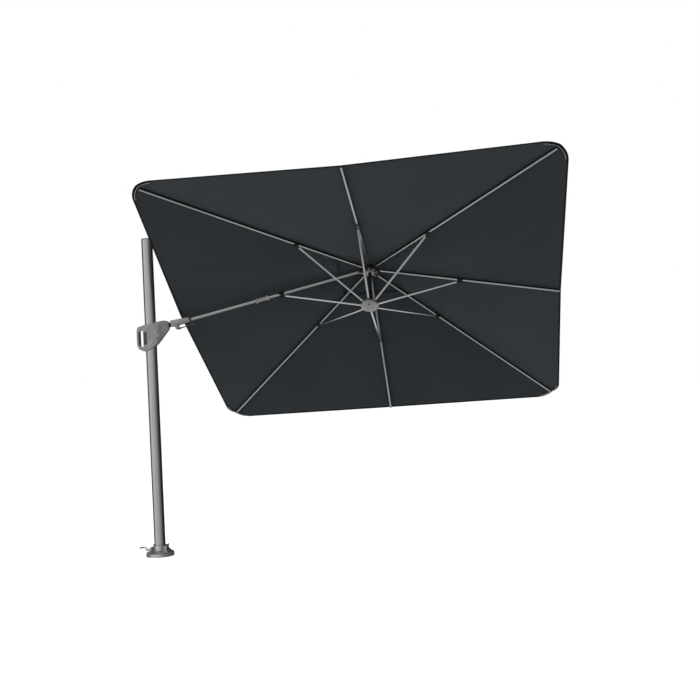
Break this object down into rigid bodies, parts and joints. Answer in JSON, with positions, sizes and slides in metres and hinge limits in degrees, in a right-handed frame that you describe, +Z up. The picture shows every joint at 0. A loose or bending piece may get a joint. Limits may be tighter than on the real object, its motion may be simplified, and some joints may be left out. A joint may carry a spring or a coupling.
{
  "type": "cantilever parasol",
  "caption": "Square cantilever parasol: a tilted canopy hangs from a side arm that slides on a turning mast with a round foot flange.",
  "frame": {"origin": "mast axis on the underside of the foot flange", "axes": "+Z up the mast, +X out along the arm, +Y to the left seen from the mast"},
  "size_m": [3.5908, 2.8267, 2.8163],
  "materials": {
    "mast_extrusion": "satin anodised oval extrusion",
    "silver_tube": "satin powder coated tube",
    "cast_grey": "matte textured casting",
    "black_plastic": "matte moulded",
    "steel": "satin metal",
    "cloth": "dark slate woven canopy cloth"
  },
  "bodies": {
    "base": {"base_flange": "steel", "pedal_pin": "steel", "pivot_spigot": "steel"},
    "pedal": {"foot_pedal": "steel"},
    "mast": {"mast": "mast_extrusion", "mast_cap": "cast_grey", "lower_bush": "black_plastic", "upper_bush": "black_plastic"},
    "handle": {"handle_casting": "cast_grey", "slider_liner_lower": "black_plastic", "slider_liner_upper": "black_plastic", "lift_pin": "steel"},
    "release_bar": {"release_bar": "cast_grey"},
    "arm_head": {"arm_head": "cast_grey", "lever_pin": "steel"},
    "tilt_lever": {"tilt_lever": "cast_grey"},
    "arm": {"arm_tube": "silver_tube", "arm_grip": "cast_grey", "strut_lug": "black_plastic", "canopy_inner": "cloth"},
    "hub": {"crown_hub": "black_plastic", "centre_pole": "black_plastic", "crown_cap": "black_plastic"},
    "runner": {"runner": "cast_grey", "runner_cap": "cast_grey"},
    "rib_outer": {"rib_outer": "silver_tube", "rib_bracket_outer": "black_plastic", "canopy_outer": "cloth"},
    "rib_outer_left": {"rib_outer_left": "silver_tube", "rib_bracket_outer_left": "black_plastic", "canopy_outer_left": "cloth", "corner_bow_outer_left": "silver_tube"},
    "rib_left": {"rib_left": "silver_tube", "rib_bracket_left": "black_plastic", "canopy_left": "cloth"},
    "rib_inner_left": {"rib_inner_left": "silver_tube", "rib_bracket_inner_left": "black_plastic", "canopy_inner_left": "cloth", "corner_bow_inner_left": "silver_tube"},
    "rib_inner_right": {"rib_inner_right": "silver_tube", "rib_bracket_inner_right": "black_plastic", "canopy_inner_right": "cloth", "corner_bow_inner_right": "silver_tube"},
    "rib_right": {"rib_right": "silver_tube", "rib_bracket_right": "black_plastic", "canopy_right": "cloth"},
    "rib_outer_right": {"rib_outer_right": "silver_tube", "rib_bracket_outer_right": "black_plastic", "canopy_outer_right": "cloth", "corner_bow_outer_right": "silver_tube"},
    "strut_outer": {"strut_outer": "silver_tube"},
    "strut_outer_left": {"strut_outer_left": "silver_tube"},
    "strut_left": {"strut_left": "silver_tube"},
    "strut_inner_left": {"strut_inner_left": "silver_tube"},
    "strut_inner": {"strut_inner": "silver_tube"},
    "strut_inner_right": {"strut_inner_right": "silver_tube"},
    "strut_right": {"strut_right": "silver_tube"},
    "strut_outer_right": {"strut_outer_right": "silver_tube"}
  },
  "joints": [
    {"name": "mast_turn", "type": "hinge", "parent": "base", "child": "mast", "pos_m": [0, 0, 0], "axis": [0, 0, 1], "continuous": true},
    {"name": "foot_pedal_press", "type": "hinge", "parent": "base", "child": "pedal", "pos_m": [-0.078, 0, 0.052], "axis": [0, -1, 0], "range_deg": [0, 10], "stiffness_Nm_per_rad": 6, "springref_deg": -8.59},
    {"name": "handle_slide", "type": "slide", "parent": "mast", "child": "handle", "axis": [0, 0, 1], "range_m": [-0.7, 0.4]},
    {"name": "release_bar_press", "type": "slide", "parent": "handle", "child": "release_bar", "axis": [0, 1, 0], "range_m": [0, 0.0035], "stiffness_N_per_m": 900, "springref_m": -0.003},
    {"name": "arm_lift", "type": "hinge", "parent": "handle", "child": "arm_head", "pos_m": [0.112, 0, 1.8345], "axis": [0, -1, 0], "range_deg": [0, 72], "deforming": ["canopy_outer", "canopy_outer_left", "canopy_left", "canopy_inner_left", "canopy_inner", "canopy_inner_right", "canopy_right", "canopy_outer_right"]},
    {"name": "tilt_lever_squeeze", "type": "hinge", "parent": "arm_head", "child": "tilt_lever", "pos_m": [0.21761, 0, 1.8127], "axis": [0, -1, 0], "range_deg": [0, 6], "stiffness_Nm_per_rad": 3, "springref_deg": -11.46},
    {"name": "arm_roll", "type": "hinge", "parent": "arm_head", "child": "arm", "pos_m": [0.112, 0, 1.8345], "axis": [0.9744, 0, 0.225], "range_deg": [-13.9, 86.1]},
    {"name": "hub_fold", "type": "hinge", "parent": "arm", "child": "hub", "pos_m": [1.74629, -0.01296, 2.19356], "axis": [0.1325, 0.808, -0.5741], "range_deg": [0, 72]},
    {"name": "rib_fold_outer", "type": "hinge", "parent": "hub", "child": "rib_outer", "pos_m": [1.83528, -0.02624, 2.19542], "axis": [0.1325, 0.808, -0.5741], "range_deg": [0, 72]},
    {"name": "rib_fold_outer_left", "type": "hinge", "parent": "hub", "child": "rib_outer_left", "pos_m": [1.82647, 0.00142, 2.17688], "axis": [-0.6055, 0.6756, -0.4206], "range_deg": [0, 76.88]},
    {"name": "rib_fold_left", "type": "hinge", "parent": "hub", "child": "rib_left", "pos_m": [1.79675, 0.01676, 2.16866], "axis": [-0.9888, 0.1475, -0.0207], "range_deg": [0, 72]},
    {"name": "rib_fold_inner_left", "type": "hinge", "parent": "hub", "child": "rib_inner_left", "pos_m": [1.76354, 0.0108, 2.17557], "axis": [-0.7929, -0.467, 0.3913], "range_deg": [0, 76.88]},
    {"name": "rib_fold_inner_right", "type": "hinge", "parent": "hub", "child": "rib_inner_right", "pos_m": [1.7551, -0.04062, 2.2121], "axis": [0.6055, -0.6756, 0.4206], "range_deg": [0, 76.88]},
    {"name": "rib_fold_right", "type": "hinge", "parent": "hub", "child": "rib_right", "pos_m": [1.78482, -0.05596, 2.22033], "axis": [0.9888, -0.1475, 0.0207], "range_deg": [0, 72]},
    {"name": "rib_fold_outer_right", "type": "hinge", "parent": "hub", "child": "rib_outer_right", "pos_m": [1.81803, -0.05001, 2.21342], "axis": [0.7929, 0.467, -0.3913], "range_deg": [0, 76.88]},
    {"name": "strut_fold_outer", "type": "hinge", "parent": "rib_outer", "child": "strut_outer", "pos_m": [2.48411, -0.22334, 2.06782], "axis": [0.1325, 0.808, -0.5741], "range_deg": [-144, 0]},
    {"name": "strut_fold_outer_left", "type": "hinge", "parent": "rib_outer_left", "child": "strut_outer_left", "pos_m": [2.34645, 0.24783, 1.82412], "axis": [-0.6055, 0.6756, -0.4206], "range_deg": [-144.25, 0]},
    {"name": "strut_fold_left", "type": "hinge", "parent": "rib_left", "child": "strut_left", "pos_m": [1.87354, 0.45797, 1.64374], "axis": [-0.9888, 0.1475, -0.0207], "range_deg": [-144, 0]},
    {"name": "strut_fold_inner_left", "type": "hinge", "parent": "rib_inner_left", "child": "strut_inner_left", "pos_m": [1.35295, 0.39605, 1.80336], "axis": [-0.7929, -0.467, 0.3913], "range_deg": [-144.25, 0]},
    {"name": "strut_fold_inner", "type": "hinge", "parent": "arm", "child": "strut_inner", "pos_m": [1.07397, -0.01296, 2.03835], "axis": [-0.1325, -0.808, 0.5741], "range_deg": [-144, 0]},
    {"name": "strut_fold_inner_right", "type": "hinge", "parent": "rib_inner_right", "child": "strut_inner_right", "pos_m": [1.21978, -0.41575, 2.38016], "axis": [0.6055, -0.6756, 0.4206], "range_deg": [-144.25, 0]},
    {"name": "strut_fold_right", "type": "hinge", "parent": "rib_right", "child": "strut_right", "pos_m": [1.68453, -0.69426, 2.46242], "axis": [0.9888, -0.1475, 0.0207], "range_deg": [-144, 0]},
    {"name": "strut_fold_outer_right", "type": "hinge", "parent": "rib_outer_right", "child": "strut_outer_right", "pos_m": [2.21328, -0.56397, 2.40093], "axis": [0.7929, 0.467, -0.3913], "range_deg": [-144.25, 0]},
    {"name": "runner_fold", "type": "hinge", "parent": "strut_inner", "child": "runner", "pos_m": [1.72279, -0.21006, 1.91074], "axis": [-0.1325, -0.808, 0.5741], "range_deg": [0, 72]}
  ],
  "couplings": [
    {"joint": "hub_fold", "follows": "arm_lift", "ratio": 1},
    {"joint": "rib_fold_outer", "follows": "arm_lift", "ratio": 1},
    {"joint": "rib_fold_outer_left", "follows": "arm_lift", "ratio": 1.0677},
    {"joint": "rib_fold_left", "follows": "arm_lift", "ratio": 1},
    {"joint": "rib_fold_inner_left", "follows": "arm_lift", "ratio": 1.0677},
    {"joint": "rib_fold_inner_right", "follows": "arm_lift", "ratio": 1.0677},
    {"joint": "rib_fold_right", "follows": "arm_lift", "ratio": 1},
    {"joint": "rib_fold_outer_right", "follows": "arm_lift", "ratio": 1.0677},
    {"joint": "strut_fold_outer", "follows": "arm_lift", "ratio": -2},
    {"joint": "strut_fold_outer_left", "follows": "arm_lift", "ratio": -2.0035},
    {"joint": "strut_fold_left", "follows": "arm_lift", "ratio": -2},
    {"joint": "strut_fold_inner_left", "follows": "arm_lift", "ratio": -2.0035},
    {"joint": "strut_fold_inner", "follows": "arm_lift", "ratio": -2},
    {"joint": "strut_fold_inner_right", "follows": "arm_lift", "ratio": -2.0035},
    {"joint": "strut_fold_right", "follows": "arm_lift", "ratio": -2},
    {"joint": "strut_fold_outer_right", "follows": "arm_lift", "ratio": -2.0035},
    {"joint": "runner_fold", "follows": "arm_lift", "ratio": 1}
  ]
}
